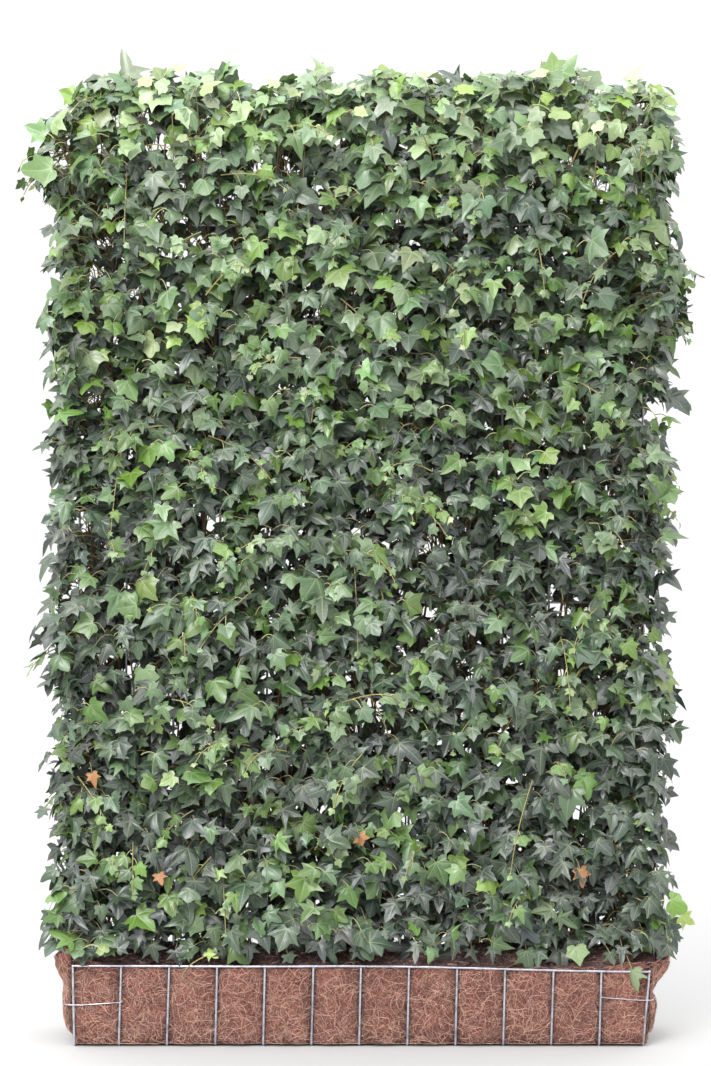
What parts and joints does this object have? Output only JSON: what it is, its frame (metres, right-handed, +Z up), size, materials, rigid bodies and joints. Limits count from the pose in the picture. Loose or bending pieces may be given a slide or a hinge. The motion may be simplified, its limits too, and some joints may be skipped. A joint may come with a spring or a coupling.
{
  "type": "potted ivy hedge",
  "caption": "Free-standing screen of climbing ivy on a welded steel trellis, rooted in potting soil in a long coir-lined wire basket.",
  "frame": {"origin": "on the ground under the middle of the hedge, at the centre of the bounding box's bottom", "axes": "+X along the hedge to the right as seen from the front, +Y from the front to the back, +Z up"},
  "size_m": [1.4, 0.31, 2.045],
  "materials": {
    "galvanised_steel": "satin",
    "coir_fibre": "matte",
    "potting_soil": "matte",
    "ivy_bark": "matte",
    "ivy_leaf": "satin"
  },
  "bodies": {
    "root": {"wire_basket": "galvanised_steel", "trellis_panel": "galvanised_steel", "left_end_stay": "galvanised_steel", "right_end_stay": "galvanised_steel", "coir_liner": "coir_fibre", "potting_soil": "potting_soil", "ivy_stem_01": "ivy_bark", "ivy_stem_02": "ivy_bark", "ivy_stem_03": "ivy_bark", "ivy_stem_04": "ivy_bark", "ivy_stem_05": "ivy_bark", "ivy_stem_06": "ivy_bark", "ivy_stem_07": "ivy_bark", "ivy_stem_08": "ivy_bark", "ivy_stem_09": "ivy_bark", "ivy_stem_10": "ivy_bark", "ivy_stem_11": "ivy_bark", "ivy_stem_12": "ivy_bark", "ivy_leaves_01": "ivy_leaf", "ivy_leaves_02": "ivy_leaf", "ivy_leaves_03": "ivy_leaf", "ivy_leaves_04": "ivy_leaf", "ivy_leaves_05": "ivy_leaf", "ivy_leaves_06": "ivy_leaf", "ivy_leaves_07": "ivy_leaf", "ivy_leaves_08": "ivy_leaf", "ivy_leaves_09": "ivy_leaf", "ivy_leaves_10": "ivy_leaf", "ivy_leaves_11": "ivy_leaf", "ivy_leaves_12": "ivy_leaf"}
  },
  "joints": []
}
